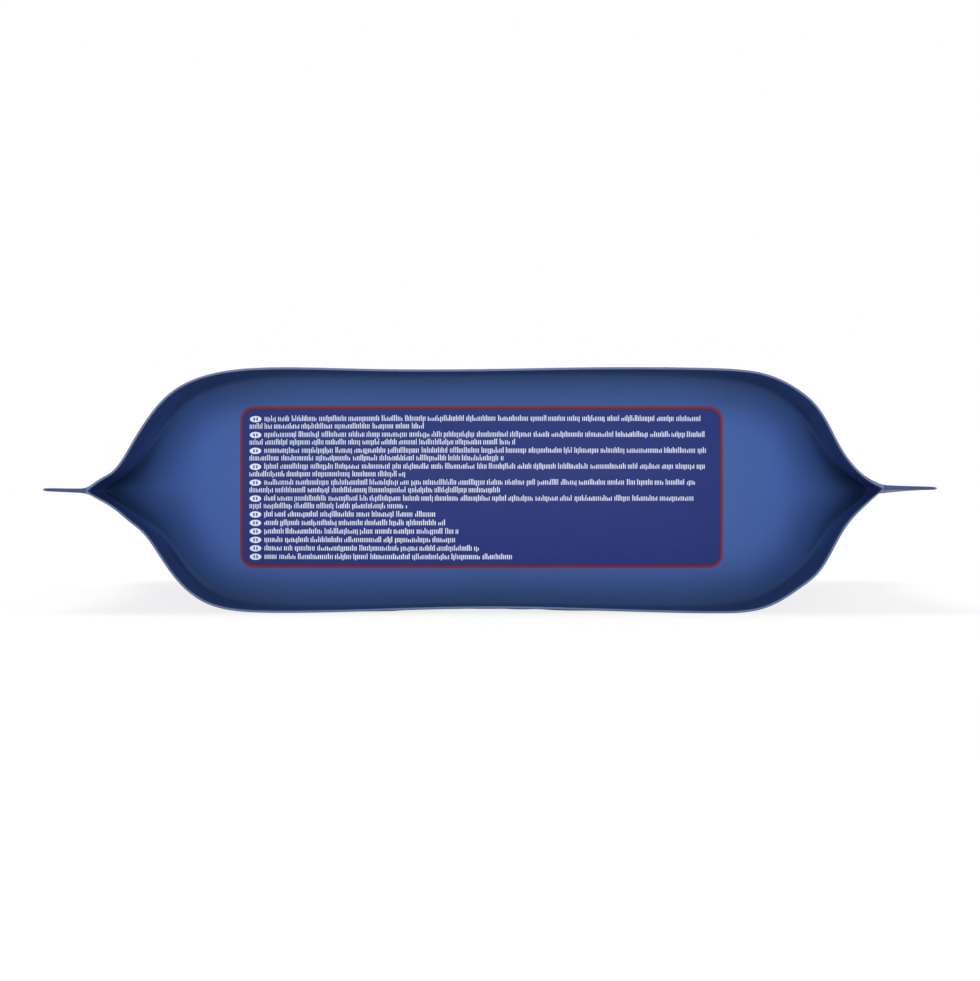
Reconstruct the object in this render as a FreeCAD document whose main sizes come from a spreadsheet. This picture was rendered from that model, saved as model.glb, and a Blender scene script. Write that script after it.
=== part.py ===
"""A filled stand-up pouch of dishwasher tablets, lying on its back panel.

The pouch is one welded film bag: a front panel, a back panel and a folded base gusset, joined by
side seals, a curved base weld and a top seal, with a press-to-close zipper pressed into the header.
The front film lies over a heap of tablets, which lift it here and there.
Length Y runs from the open rim of the base, at the low end, to the top seal. X is across the seals
and Z is up, with the floor at zero under the flattened back panel. All sizes are in millimetres.
"""

import FreeCAD, Part
import math
import os
import random
from FreeCAD import Vector

DEGREE = 3

# Driving sizes: alias, value, what it measures.
SIZES = [
    ("pack_height", 290.0, "base rim to top edge, along the pack"),
    ("flat_width", 280.0, "width of the flat film, at the top seal"),
    ("base_span", 252.5, "seal tip to seal tip at the opened base"),
    ("base_depth", 69.6, "front rim to back rim at the opened base"),
    ("left_seal", 12.3, "width of the left side seal at the base"),
    ("right_seal", 15.2, "width of the right side seal at the base"),
    ("upper_seal", 12.0, "width of both side seals at the header"),
    ("header_drop", 50.0, "top edge to the foot of the header, where the panels lie together"),
    ("seal_thick", 0.9, "thickness of the welded seals and the header"),
    ("rim_wall", 0.75, "thickness of the base rim, panel and gusset welded together"),
    ("corner_reach", 45.0, "from a seal to where the base rim runs straight"),
    ("seam_fall", 2.0, "how far the header hangs below the middle of the base"),
    ("seam_skew", 0.8, "how much higher the right seal stands than the left at the base"),
    ("foot_height", 20.0, "how far above the rim the panels keep the rim's outline"),
    ("belly_swell", 2.2, "how far the full belly stands out beyond the base rim"),
    ("floor_press", 0.7, "how far the back panel is pressed flat by the weight"),
    ("full_height", 158.0, "base rim to where the tablets stop and the panels close in"),
    ("zip_drop", 40.0, "top edge to the middle of the zipper"),
    ("zip_pitch", 4.6, "between the two tracks of the zipper"),
    ("zip_radius", 1.15, "radius of one zipper track under the film"),
    ("notch_drop", 24.0, "top edge to the tear notches"),
    ("notch_depth", 3.2, "how far a tear notch cuts into the side seal"),
    ("corner_round", 7.0, "radius of the top corners"),
    ("gusset_crown", 2.6, "from the rim in to the middle of the gusset"),
    ("skirt_depth", 8.5, "from the rim in to the gusset weld, halfway along the base"),
    ("gusset_fold", 40.0, "from the rim in to the gusset fold, at the side seals"),
    ("gusset_flat", 62.0, "half length of the gusset's nearly flat middle"),
    ("tablet_length", 36.0, "length of a tablet under the front film"),
    ("tablet_width", 27.0, "width of a tablet under the front film"),
    ("tablet_round", 5.0, "corner radius of a tablet"),
    ("tablet_pitch", 33.0, "between tablets side by side, across the pack"),
    ("tablet_row", 31.0, "between rows of tablets, up the pack"),
    ("tablet_scatter", 5.0, "how far a tablet lies off its even place, each way"),
    ("tablet_proud", 0.2, "how far the highest tablets lift the film above the plain panel"),
    ("tablet_sunk", 2.8, "how far the lowest tablets lie below the plain panel"),
    ("film_slack", 3.6, "how far the front film can sink where no tablet is under it"),
    ("lump_margin", 26.0, "from a side seal in to where the tablets show fully"),
    ("lump_ramp", 24.0, "gusset weld up to where the tablets show fully"),
    ("lump_fade", 52.0, "foot of the header down to where the tablets begin to fade"),
    ("lump_end", 18.0, "foot of the header down to where no tablet shows"),
]

doc = FreeCAD.newDocument("tablet_pouch")
sheet = doc.addObject("Spreadsheet::Sheet", "Sizes")
for row, (alias, value, meaning) in enumerate(SIZES, start=1):
    sheet.set(f"A{row}", meaning)
    sheet.set(f"B{row}", str(value))
    sheet.setAlias(f"B{row}", alias)
doc.recompute()


def size(alias):
    """One driving size from the sheet, in millimetres."""
    return float(sheet.get(alias))


HALF_DEPTH = size("base_depth") / 2
BASE_Y = -size("pack_height") / 2
TOP_Y = size("pack_height") / 2
HALF_SEAL = size("seal_thick") / 2
CLOSED_HEIGHT = size("pack_height") - size("header_drop")
HEADER_LEVEL = HALF_DEPTH - size("seam_fall")

# How a rim corner climbs from the seal to the straight rim: the share of corner_reach gone inwards
# and, for each corner, the share of the half depth gained there.
INWARD = (0.18, 0.38, 0.60, 1.00)
CORNER_RISE = {
    ("front", "left"): (0.13, 0.64, 0.91, 1.02),
    ("front", "right"): (0.10, 0.66, 0.91, 1.00),
    ("back", "left"): (0.13, 0.32, 0.88, 1.02),
    ("back", "right"): (0.17, 0.67, 0.93, 1.03),
}
# The straight middle of each rim edge, from left to right, as shares of the half depth.
MIDDLE_RISE = {"front": (0.98, 0.99, 0.99), "back": (0.98, 0.96, 0.98)}
# A rounder, lens-shaped section that the panels settle to above the base.
LENS_RISE = (0.24, 0.52, 0.78, 0.98)
LENS_MIDDLE = (1.0, 1.0, 1.0)
LENS_WIDENING = 1.35
# Tablets under the film: how steeply one may lean, and how steeply the film falls away from its edge.
TABLET_LEAN = 0.08
FILM_SLOPE = 0.20
# The film from base to header is drawn in strips, four to each row of tablets, and each section of the
# front panel gets this many control points for one of the plain panel.
STRIPS = round(4 * CLOSED_HEIGHT / size("tablet_row"))
FINER_POLES = 3


def ease(share):
    """A smooth step from 0 to 1."""
    share = min(max(share, 0.0), 1.0)
    return share * share * (3 - 2 * share)


def stations():
    """The rows of the control net, each a height above the rim and the share of full depth there."""
    full = size("full_height")
    closing = CLOSED_HEIGHT - full
    swollen = 1 + size("belly_swell") / HALF_DEPTH
    return [
        (0.0, 1.0),
        (size("foot_height"), 1.0),
        (0.40 * full, swollen),
        (0.90 * full, swollen),
        (full + 0.40 * closing, 0.62),
        (CLOSED_HEIGHT, 0.0),
    ]


def seam_height(height, across):
    """Z of the seal's middle plane at a height above the rim and an X position."""
    up = height / CLOSED_HEIGHT
    level = HALF_DEPTH - size("seam_fall") * ease(up)
    return level + size("seam_skew") * across / size("base_span") * (1 - up)


def half_width(depth_share):
    """Seal tip to middle. The film keeps its width, so a deeper section is a narrower one."""
    gathered = (size("flat_width") - size("base_span")) / 2
    return size("flat_width") / 2 - gathered * min(depth_share, 1.0)


def seal_width(hand, height):
    """A side seal's width, from what shows at the base to the even seal above it."""
    return size(f"{hand}_seal") + (size("upper_seal") - size(f"{hand}_seal")) * settled_share(height)


def settled_share(height):
    """How far the section has gone from the base's own outline to the rounder one above it."""
    return ease(height / (0.6 * size("full_height")))


def section(side, height, depth_share):
    """The control points (x, z) of one panel's section, from the left seal to the right one."""
    up = 1 if side == "front" else -1
    tip = half_width(depth_share)
    settled = settled_share(height)
    reach = size("corner_reach") * (1 + (LENS_WIDENING - 1) * settled)
    pressed = side == "back" and height > size("skirt_depth")
    rise = (HALF_DEPTH - HALF_SEAL) * depth_share
    if pressed:
        rise += size("floor_press") * min(depth_share, 1.0)

    def mix(base, lens):
        return base + (lens - base) * settled

    points = []
    for hand, sign in (("left", -1), ("right", 1)):
        root = tip - seal_width(hand, height)
        half = [(sign * root, 0.0)]
        for inward, base, lens in zip(INWARD, CORNER_RISE[side, hand], LENS_RISE):
            half.append((sign * (root - inward * reach), mix(base, lens)))
        points.append(half)
    left, right = points
    inner_left, inner_right = left[-1][0], right[-1][0]
    step = (inner_right - inner_left) / 4
    middle = [
        (inner_left + step * (n + 1), mix(base, lens))
        for n, (base, lens) in enumerate(zip(MIDDLE_RISE[side], LENS_MIDDLE))
    ]
    return [
        (x, seam_height(height, x) + up * (HALF_SEAL + rise * share))
        for x, share in left + middle + right[::-1]
    ]


def inset(points, distance, side):
    """The same control points moved into the pack by a wall's thickness."""
    moved = []
    for n, (x, z) in enumerate(points):
        before, after = points[max(n - 1, 0)], points[min(n + 1, len(points) - 1)]
        dx, dz = after[0] - before[0], after[1] - before[1]
        length = math.hypot(dx, dz)
        inwards = (dz / length, -dx / length) if side == "front" else (-dz / length, dx / length)
        moved.append((x + distance * inwards[0], z + distance * inwards[1]))
    return moved


def net_surface(net):
    """A smooth surface over a net of control points that starts and ends on the net's edges."""

    def knots(count):
        spans = count - DEGREE
        multiplicity = [DEGREE + 1] + [1] * (spans - 1) + [DEGREE + 1]
        return [float(n) for n in range(spans + 1)], multiplicity

    row_knots, row_mults = knots(len(net))
    column_knots, column_mults = knots(len(net[0]))
    surface = Part.BSplineSurface()
    surface.buildFromPolesMultsKnots(
        net, row_mults, column_mults, row_knots, column_knots, False, False, DEGREE, DEGREE
    )
    return surface


def panel(side, wall=0.0):
    """The outer face of the front or back panel, or with a wall the face inside it."""
    net = []
    for height, depth_share in stations():
        points = section(side, height, depth_share)
        if wall:
            points = inset(points, wall, side)
        net.append([Vector(x, BASE_Y + height, z) for x, z in points])
    return net_surface(net)


def tablets():
    """The tablets under the front film: middle, turn, two leans and how high each one lies."""
    chance = random.Random(7)
    lowest = size("skirt_depth") + size("lump_ramp") - size("tablet_row") / 4
    rows = round((CLOSED_HEIGHT - size("lump_end") - lowest) / size("tablet_row"))
    half_row = round(size("base_span") / size("tablet_pitch") / 2)
    lying = []
    for row in range(rows):
        for place in range(-half_row, half_row):
            x = (place + 0.5 * (1 + row % 2)) * size("tablet_pitch")
            height = lowest + row * size("tablet_row")
            x += chance.uniform(-1, 1) * size("tablet_scatter")
            height += chance.uniform(-1, 1) * size("tablet_scatter")
            turn = chance.uniform(0, math.pi)
            leans = chance.uniform(-1, 1) * TABLET_LEAN, chance.uniform(-1, 1) * TABLET_LEAN
            level = chance.uniform(-size("tablet_sunk"), size("tablet_proud"))
            lying.append((x, height, turn, leans, level))
    return lying


TABLETS = tablets()


def weld_height(x):
    """How far above the rim the gusset is welded to a panel, at a place across the base."""
    towards_seal = ease((abs(x) - size("gusset_flat")) / (size("base_span") / 2 - size("gusset_flat")))
    return size("skirt_depth") + (size("gusset_fold") - size("skirt_depth")) * towards_seal


def film_lift(x, height, from_seal):
    """How far the front film stands above the plain panel, or below it where it is negative."""
    free = ease(from_seal / size("lump_margin")) * ease((height - weld_height(x)) / size("lump_ramp"))
    free *= ease((CLOSED_HEIGHT - size("lump_end") - height) / (size("lump_fade") - size("lump_end")))
    lift = -size("film_slack")
    for middle_x, middle_height, turn, leans, level in TABLETS:
        right, up = x - middle_x, height - middle_height
        along = right * math.cos(turn) + up * math.sin(turn)
        beside = up * math.cos(turn) - right * math.sin(turn)
        past = math.hypot(
            max(abs(along) - size("tablet_length") / 2 + size("tablet_round"), 0),
            max(abs(beside) - size("tablet_width") / 2 + size("tablet_round"), 0),
        )
        fall = FILM_SLOPE * max(past - size("tablet_round"), 0)
        lift = max(lift, level + leans[0] * along + leans[1] * beside - fall)
    return free * lift


def over_tablets(curve):
    """A section of the front panel, lifted by the tablets under it and let down between them."""
    knots = curve.getKnots()
    for low, high in zip(knots[:-1], knots[1:]):
        for part in range(1, FINER_POLES):
            curve.insertKnot(low + (high - low) * part / FINER_POLES)
    left, right = curve.StartPoint.x, curve.EndPoint.x
    for number, pole in enumerate(curve.getPoles(), start=1):
        from_seal = min(pole.x - left, right - pole.x)
        lift = film_lift(pole.x, pole.y - BASE_Y, from_seal)
        curve.setPole(number, pole + Vector(0, 0, lift))
    return curve


def sections_up(side):
    """A panel's sections at the ends of its strips, from the base rim to the header."""
    surface = panel(side)
    first, last = surface.bounds()[:2]
    curves = [surface.uIso(first + (last - first) * n / STRIPS) for n in range(STRIPS + 1)]
    return [over_tablets(curve) for curve in curves] if side == "front" else curves


def seal_tips(side, sign):
    """Points on the cut edge of a side seal, on its front or back, at the ends of the strips."""
    up = 1 if side == "front" else -1
    line = []
    for height, depth_share in stations():
        x = sign * half_width(depth_share)
        line.append(Vector(x, BASE_Y + height, seam_height(height, x) + up * HALF_SEAL))
    edge = net_surface([line] * (DEGREE + 1))
    across, _, first, last = edge.bounds()
    return [edge.value(across, first + (last - first) * n / STRIPS) for n in range(STRIPS + 1)]


def filled_bag():
    """The closed outside of the pouch below the header, in strips from section to section."""
    front, back = sections_up("front"), sections_up("back")
    faces = []
    ends = {0: [], STRIPS: []}
    for curves in (front, back):
        for low, high in zip(curves[:-1], curves[1:]):
            faces.append(Part.makeRuledSurface(low.toShape(), high.toShape()))
        for row, edges in ends.items():
            edges.append(curves[row].toShape())
    for sign, root in ((-1, "StartPoint"), (1, "EndPoint")):
        over = [getattr(curve, root) for curve in front]
        under = [getattr(curve, root) for curve in back]
        lines = [over, seal_tips("front", sign), seal_tips("back", sign), under]
        for inner, outer in zip(lines[:-1], lines[1:]):
            for n in range(STRIPS):
                sides = [Part.makeLine(line[n], line[n + 1]) for line in (inner, outer)]
                faces.append(Part.makeRuledSurface(*sides))
            for row, edges in ends.items():
                edges.append(Part.makeLine(inner[row], outer[row]))
    for edges in ends.values():
        faces.append(Part.Face(Part.Wire(Part.__sortEdges__(edges))))
    shell = Part.makeShell(faces)
    shell.sewShape()
    solid = Part.makeSolid(shell)
    if solid.Volume < 0:
        solid.reverse()
    return solid


def gusset_surface():
    """The base gusset: nearly flat in its middle, tucked in at the rims and folded up at the seals."""
    crown, skirt, fold = size("gusset_crown"), size("skirt_depth"), size("gusset_fold")
    flat, half_span = size("gusset_flat"), size("base_span") / 2
    run = half_span - flat
    columns = [(half_span + 6.0, 1.06), (flat + 0.72 * run, 0.92), (flat + 0.36 * run, 0.26)]
    columns += [(0.86 * flat, 0.0)]
    rows = [(1.22, 1.35), (0.76, 0.32)]
    across = [(-x, tuck) for x, tuck in columns] + [(x, tuck) for x, tuck in columns[::-1]]
    upward = [(-z, dip) for z, dip in rows] + [(0.0, 0.0)] + [(z, dip) for z, dip in rows[::-1]]
    net = []
    for z_share, dip in upward:
        line = []
        for x, tuck in across:
            depth = crown + (skirt - crown) * dip * (1 - 0.75 * min(tuck, 1.0))
            depth += (fold - crown) * tuck
            line.append(Vector(x, BASE_Y + depth, HALF_DEPTH * (1 + z_share)))
        net.append(line)
    return net_surface(net)


def base_pocket():
    """The space between the rim and the gusset, inside the welded skirt of both panels."""
    wall = size("rim_wall")
    beyond = 2 * size("base_depth")
    under_front = panel("front", wall).toShape().extrude(Vector(0, 0, -beyond))
    over_back = panel("back", wall).toShape().extrude(Vector(0, 0, beyond))
    before_gusset = gusset_surface().toShape().extrude(Vector(0, -2 * size("gusset_fold"), 0))
    return under_front.common(over_back).common(before_gusset)


def part_feature(name, shape):
    """A document object that holds a shape made above."""
    feature = doc.addObject("Part::Feature", name)
    feature.Shape = shape
    return feature


def combined(kind, name, base, tool):
    """A boolean of two document objects."""
    feature = doc.addObject(f"Part::{kind}", name)
    feature.Base, feature.Tool = base, tool
    return feature


def header_plate():
    """The header, where front and back lie flat together up to the top seal."""
    plate = doc.addObject("Part::Box", "Header")
    plate.setExpression("Length", "Sizes.flat_width")
    plate.setExpression("Width", "Sizes.header_drop")
    plate.setExpression("Height", "Sizes.seal_thick")
    corner = Vector(-size("flat_width") / 2, BASE_Y + CLOSED_HEIGHT, HEADER_LEVEL - HALF_SEAL)
    plate.Placement = FreeCAD.Placement(corner, FreeCAD.Rotation())
    return plate


def zip_track(name, sign):
    """One of the zipper's two tracks, a bead across the header that shows on both faces."""
    track = doc.addObject("Part::Prism", name)
    track.Polygon = 8
    track.setExpression("Circumradius", "Sizes.zip_radius")
    track.setExpression("Height", "Sizes.flat_width - 2 * Sizes.upper_seal")
    height = size("pack_height") - size("zip_drop") + sign * size("zip_pitch") / 2
    start = Vector(size("upper_seal") - size("flat_width") / 2, BASE_Y + height, HEADER_LEVEL)
    lying = FreeCAD.Rotation(Vector(0, 1, 0), 90)
    flat_up = FreeCAD.Rotation(Vector(0, 0, 1), 180 / track.Polygon)
    track.Placement = FreeCAD.Placement(start, lying * flat_up)
    return track


def tear_notch(name, sign):
    """A V cut into one side seal, where the header is torn off."""
    cutter = doc.addObject("Part::Prism", name)
    cutter.Polygon = 3
    cutter.setExpression("Circumradius", "Sizes.notch_depth * 4 / 3")
    cutter.setExpression("Height", "Sizes.base_depth")
    turn = 180 if sign > 0 else 0
    reach = size("notch_depth") * 4 / 3
    middle = sign * (size("flat_width") / 2 - size("notch_depth") + reach)
    place = Vector(middle, TOP_Y - size("notch_drop"), 0)
    cutter.Placement = FreeCAD.Placement(place, FreeCAD.Rotation(Vector(0, 0, 1), turn))
    return cutter


def corner_cutter(name, sign):
    """What is cut away outside a rounded top corner."""
    radius = size("corner_round")
    middle = Vector(sign * (size("flat_width") / 2 - radius), TOP_Y - radius, 0)
    block = Part.makeBox(2 * radius, 2 * radius, size("base_depth"))
    block.translate(Vector(middle.x - (0 if sign > 0 else 2 * radius), middle.y, 0))
    round_post = Part.makeCylinder(radius, size("base_depth"), middle)
    return part_feature(name, block.cut(round_post))


def floor_block():
    """The floor that the filled back panel is pressed flat against."""
    block = doc.addObject("Part::Box", "Floor")
    block.setExpression("Length", "Sizes.flat_width * 2")
    block.setExpression("Width", "Sizes.pack_height * 2")
    block.setExpression("Height", "Sizes.base_depth")
    corner = Vector(-size("flat_width"), -size("pack_height"), -size("base_depth"))
    block.Placement = FreeCAD.Placement(corner, FreeCAD.Rotation())
    return block


bag = part_feature("Filled_bag", filled_bag())
pocket = part_feature("Base_pocket", base_pocket())
open_base = combined("Cut", "Open_base", bag, pocket)
pressed = combined("Cut", "Pressed_flat", open_base, floor_block())
tracks = combined("Fuse", "Zip_tracks", zip_track("Lower_track", -1), zip_track("Upper_track", 1))
header = combined("Fuse", "Zipped_header", header_plate(), tracks)
closed = combined("Fuse", "Closed_pouch", pressed, header)
notches = combined("Fuse", "Tear_notches", tear_notch("Left_notch", -1), tear_notch("Right_notch", 1))
corners = combined("Fuse", "Top_corners", corner_cutter("Left_corner", -1), corner_cutter("Right_corner", 1))
cutters = combined("Fuse", "Header_cutters", notches, corners)
pouch = combined("Cut", "Tablet_pouch", closed, cutters)
pouch.Label = "pouch"
doc.recompute()

for item in doc.Objects:
    if "Invalid" in item.State or "Error" in item.State:
        raise RuntimeError(f"{item.Label} failed to build: {item.State}")
if pouch.Shape.isNull() or not pouch.Shape.isValid():
    raise RuntimeError("the pouch has no valid shape")
if len(pouch.Shape.Solids) != 1:
    raise RuntimeError(f"the pouch is {len(pouch.Shape.Solids)} solids and not one")

os.makedirs("parts", exist_ok=True)
pouch.Shape.exportStep(f"parts/{pouch.Label}.step")
print(f"pouch: {pouch.Shape.Volume / 1000:.1f} cm3, {len(pouch.Shape.Faces)} faces")
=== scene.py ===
"""A filled stand-up pouch of dishwasher tablets, lying on its back with its base towards the camera."""

import math
import random

import bmesh
import bpy
import numpy as np
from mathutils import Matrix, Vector


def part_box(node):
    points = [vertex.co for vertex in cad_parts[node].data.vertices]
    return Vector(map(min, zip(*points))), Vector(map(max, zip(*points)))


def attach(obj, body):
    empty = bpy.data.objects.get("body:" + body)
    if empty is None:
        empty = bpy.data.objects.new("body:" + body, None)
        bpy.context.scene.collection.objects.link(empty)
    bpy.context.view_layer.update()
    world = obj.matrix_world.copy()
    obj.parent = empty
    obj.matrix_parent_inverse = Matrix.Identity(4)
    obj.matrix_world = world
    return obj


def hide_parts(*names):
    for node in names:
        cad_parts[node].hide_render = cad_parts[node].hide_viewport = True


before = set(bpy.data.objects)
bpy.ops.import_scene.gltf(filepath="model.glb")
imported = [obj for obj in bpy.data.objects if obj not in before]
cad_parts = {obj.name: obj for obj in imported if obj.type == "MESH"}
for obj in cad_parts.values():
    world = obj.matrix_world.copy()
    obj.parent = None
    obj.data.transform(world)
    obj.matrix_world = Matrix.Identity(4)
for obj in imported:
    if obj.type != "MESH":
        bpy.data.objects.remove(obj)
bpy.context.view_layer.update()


# The film bag: one laminate film, welded into front panel, back panel and base gusset.
# It is about 0.15 mm thick, 0.3 mm where two layers lie together, and is drawn thicker at its cut edges.
# Its outline at the base is the shape of a control net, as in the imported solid.
MM = 0.001
pouch_low, pouch_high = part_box("pouch")
BASE_Y = pouch_low.y
PACK_HEIGHT = pouch_high.y - pouch_low.y
FLAT_WIDTH = pouch_high.x - pouch_low.x
BASE_SPAN = 252.5 * MM
BASE_DEPTH = 69.6 * MM
HALF_DEPTH = BASE_DEPTH / 2
HALF_SEAL = 0.45 * MM
SEAL_WIDTH = {"left": 12.3 * MM, "right": 15.2 * MM}
UPPER_SEAL = 12.0 * MM
HEADER_DROP = 50 * MM
CLOSED_HEIGHT = PACK_HEIGHT - HEADER_DROP
FULL_HEIGHT = 158 * MM
SETTLED_HEIGHT = 0.6 * FULL_HEIGHT
FOOT_HEIGHT = 20 * MM
SWELL = 1 + 2.2 * MM / HALF_DEPTH
SEAM_FALL = 2.0 * MM
SEAM_SKEW = 0.8 * MM
CORNER_REACH = 45 * MM
LENS_WIDENING = 1.35
LENS_REACH = 1.15
LENS_ROUND = 1.9
SPLINE_SAMPLES = 3001
FLOOR_PRESS = 0.7 * MM

# How each rim corner climbs from its seal: share of the reach gone inwards, share of the half depth gained.
INWARD = (0.08, 0.17, 0.27, 0.38, 0.52, 0.74, 1.10)
CORNER_RISE = {
    ("front", "left"): (0.10, 0.12, 0.36, 0.60, 0.82, 0.96, 1.02),
    ("front", "right"): (0.05, 0.15, 0.32, 0.65, 0.81, 0.97, 0.99),
    ("back", "left"): (0.06, 0.12, 0.25, 0.34, 0.68, 0.96, 1.00),
    ("back", "right"): (0.09, 0.19, 0.36, 0.68, 0.80, 1.01, 1.01),
}
MIDDLE_RISE = {"front": (0.98, 0.98, 1.00), "back": (0.98, 0.95, 0.98)}


def ease(share):
    """A smooth step from 0 to 1."""
    share = np.clip(share, 0.0, 1.0)
    return share * share * (3 - 2 * share)


def spline_weights(count, params):
    """Weights of a clamped cubic spline's control points, one row for each parameter."""
    spans = count - 3
    knots = np.concatenate([[0] * 3, np.arange(spans + 1), [spans] * 3]).astype(float)
    params = np.clip(np.asarray(params, float), 0, spans - 1e-9)[:, None]
    weights = ((knots[:-1] <= params) & (params < knots[1:])).astype(float)
    for degree in (1, 2, 3):
        kept = len(knots) - degree - 1
        start, stop = knots[:kept], knots[degree + 1 : degree + 1 + kept]
        rise, fall = knots[degree : degree + kept] - start, stop - knots[1 : 1 + kept]
        up = np.divide(params - start, rise, out=np.zeros((len(params), kept)), where=rise > 0)
        down = np.divide(stop - params, fall, out=np.zeros((len(params), kept)), where=fall > 0)
        weights = up * weights[:, :kept] + down * weights[:, 1 : kept + 1]
    return weights


def weights_at(poles, places):
    """Weights of the control points where the spline through poles reaches each place."""
    params = np.linspace(0, len(poles) - 3, SPLINE_SAMPLES)
    return spline_weights(len(poles), np.interp(places, spline_weights(len(poles), params) @ poles, params))


STATIONS = (
    (0.0, 1.0),
    (FOOT_HEIGHT, 1.0),
    (0.40 * FULL_HEIGHT, SWELL),
    (0.90 * FULL_HEIGHT, SWELL),
    (FULL_HEIGHT + 0.40 * (CLOSED_HEIGHT - FULL_HEIGHT), 0.62),
    (CLOSED_HEIGHT, 0.0),
)


def seam_z(height, across):
    """Height above the floor of the plane in which the seals lie."""
    up = np.clip(height / CLOSED_HEIGHT, 0, 1)
    return HALF_DEPTH - SEAM_FALL * ease(up) + SEAM_SKEW * across / BASE_SPAN * (1 - up)


def half_width(share):
    """Seal tip to middle: a deeper section of the same film is a narrower one."""
    return FLAT_WIDTH / 2 - (FLAT_WIDTH - BASE_SPAN) / 2 * min(share, 1.0)


def lens(inward):
    """The rounder section that the panels settle to above the base."""
    return 1 - (1 - min(inward / LENS_REACH, 1.0)) ** LENS_ROUND


def section_poles(side, height, share):
    """Control points (x, z) across one panel at one station, from seal root to seal root."""
    up = 1 if side == "front" else -1
    settled = ease(height / SETTLED_HEIGHT)
    reach = CORNER_REACH * (1 + (LENS_WIDENING - 1) * settled)
    rise = (HALF_DEPTH - HALF_SEAL) * share
    if side == "back" and height > 0:
        rise += FLOOR_PRESS * min(share, 1.0)
    halves = []
    for hand, sign in (("left", -1), ("right", 1)):
        seal = SEAL_WIDTH[hand] + (UPPER_SEAL - SEAL_WIDTH[hand]) * settled
        root = half_width(share) - seal
        half = [(sign * root, 0.0)]
        for inward, base in zip(INWARD, CORNER_RISE[side, hand]):
            half.append((sign * (root - inward * reach), base + (lens(inward) - base) * settled))
        halves.append(half)
    left, right = halves
    inner = np.linspace(left[-1][0], right[-1][0], len(MIDDLE_RISE[side]) + 2)[1:-1]
    middle = [(x, base + (1 - base) * settled) for x, base in zip(inner, MIDDLE_RISE[side])]
    points = left + middle + right[::-1]
    return [(x, seam_z(height, x) + up * (HALF_SEAL + rise * part)) for x, part in points]


station_heights = np.array([height for height, share in STATIONS])
NET = {}
for side in ("front", "back"):
    NET[side] = np.array([section_poles(side, *station) for station in STATIONS])
TIPS = np.array([half_width(share) for height, share in STATIONS])
COLUMN_POLES = NET["front"].shape[1]


def panel_points(side, heights, params):
    """Points (x, z) of a panel at heights above the rim and parameters across it."""
    up_pack = weights_at(station_heights, np.minimum(heights, CLOSED_HEIGHT))
    across = spline_weights(COLUMN_POLES, params)
    return np.einsum("ri,cj,ijk->rck", up_pack, across, NET[side])


# The base gusset: a third web of the same film, folded once and welded between the two panels.
# It is nearly flat in its middle, tucked in at the rims and folded up towards the seals.
GUSSET_CROWN = 2.6 * MM
SKIRT_DEPTH = 8.5 * MM
GUSSET_FOLD = 40 * MM
GUSSET_FLAT = 62 * MM
PAST_TIP = 6 * MM
TUCK_FADE = 0.75

# Control points of the gusset: place across and share of the fold, place up and share of the tuck.
gusset_run = BASE_SPAN / 2 - GUSSET_FLAT
gusset_columns = [(BASE_SPAN / 2 + PAST_TIP, 1.06), (GUSSET_FLAT + 0.72 * gusset_run, 0.92)]
gusset_columns += [(GUSSET_FLAT + 0.36 * gusset_run, 0.26), (0.86 * GUSSET_FLAT, 0.0)]
gusset_columns = [(-x, fold) for x, fold in gusset_columns] + gusset_columns[::-1]
gusset_rows = [(-1.22, 1.35), (-0.76, 0.32), (0.0, 0.0), (0.76, 0.32), (1.22, 1.35)]
gusset_x = np.array([x for x, fold in gusset_columns])
gusset_z = np.array([HALF_DEPTH * (1 + share) for share, tuck in gusset_rows])


def gusset_pole(fold, tuck):
    """Depth of a control point, by its shares of the fold at the seal and of the tuck at the rim."""
    tucked = (SKIRT_DEPTH - GUSSET_CROWN) * tuck * (1 - TUCK_FADE * min(fold, 1.0))
    return GUSSET_CROWN + tucked + (GUSSET_FOLD - GUSSET_CROWN) * fold


gusset_net = np.array([[gusset_pole(fold, tuck) for x, fold in gusset_columns] for z, tuck in gusset_rows])


def gusset_depth(x, z):
    """How far the gusset lies behind the rim at points across the base."""
    x, z = np.asarray(x, float), np.asarray(z, float)
    along = weights_at(gusset_x, x.ravel())
    upward = weights_at(gusset_z, z.ravel())
    return np.einsum("ni,ij,nj->n", upward, gusset_net, along).reshape(x.shape)


# The film's grid, with its zipper and tear notches. The zipper is two extruded strips welded inside the
# header, which press together, and the notches are punched in the side seals above it.
# Rows run up the pack and stand closer together there and at the rim.
FOUR_LAYERS = 0.2 * MM
FIN_LIFT = {"left": (0.15 * MM, 0.55 * MM), "right": (0.4 * MM, 0.1 * MM)}
FIN_STEPS = 4
PANEL_STEPS = 84
FIRST_BODY_ROW = 12.5 * MM
ROW_STEP = 3.2 * MM
ZIP_DROP = 40 * MM
ZIP_PITCH = 4.6 * MM
ZIP_HALF = 1.5 * MM
ZIP_RISE = 0.75 * MM
ZIP_OVERLAP = 0.5 * MM
NOTCH_DROP = 24 * MM
NOTCH_DEPTH = 3.2 * MM
NOTCH_HALF = 1.85 * MM
CORNER_ROUND = 7 * MM

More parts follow.
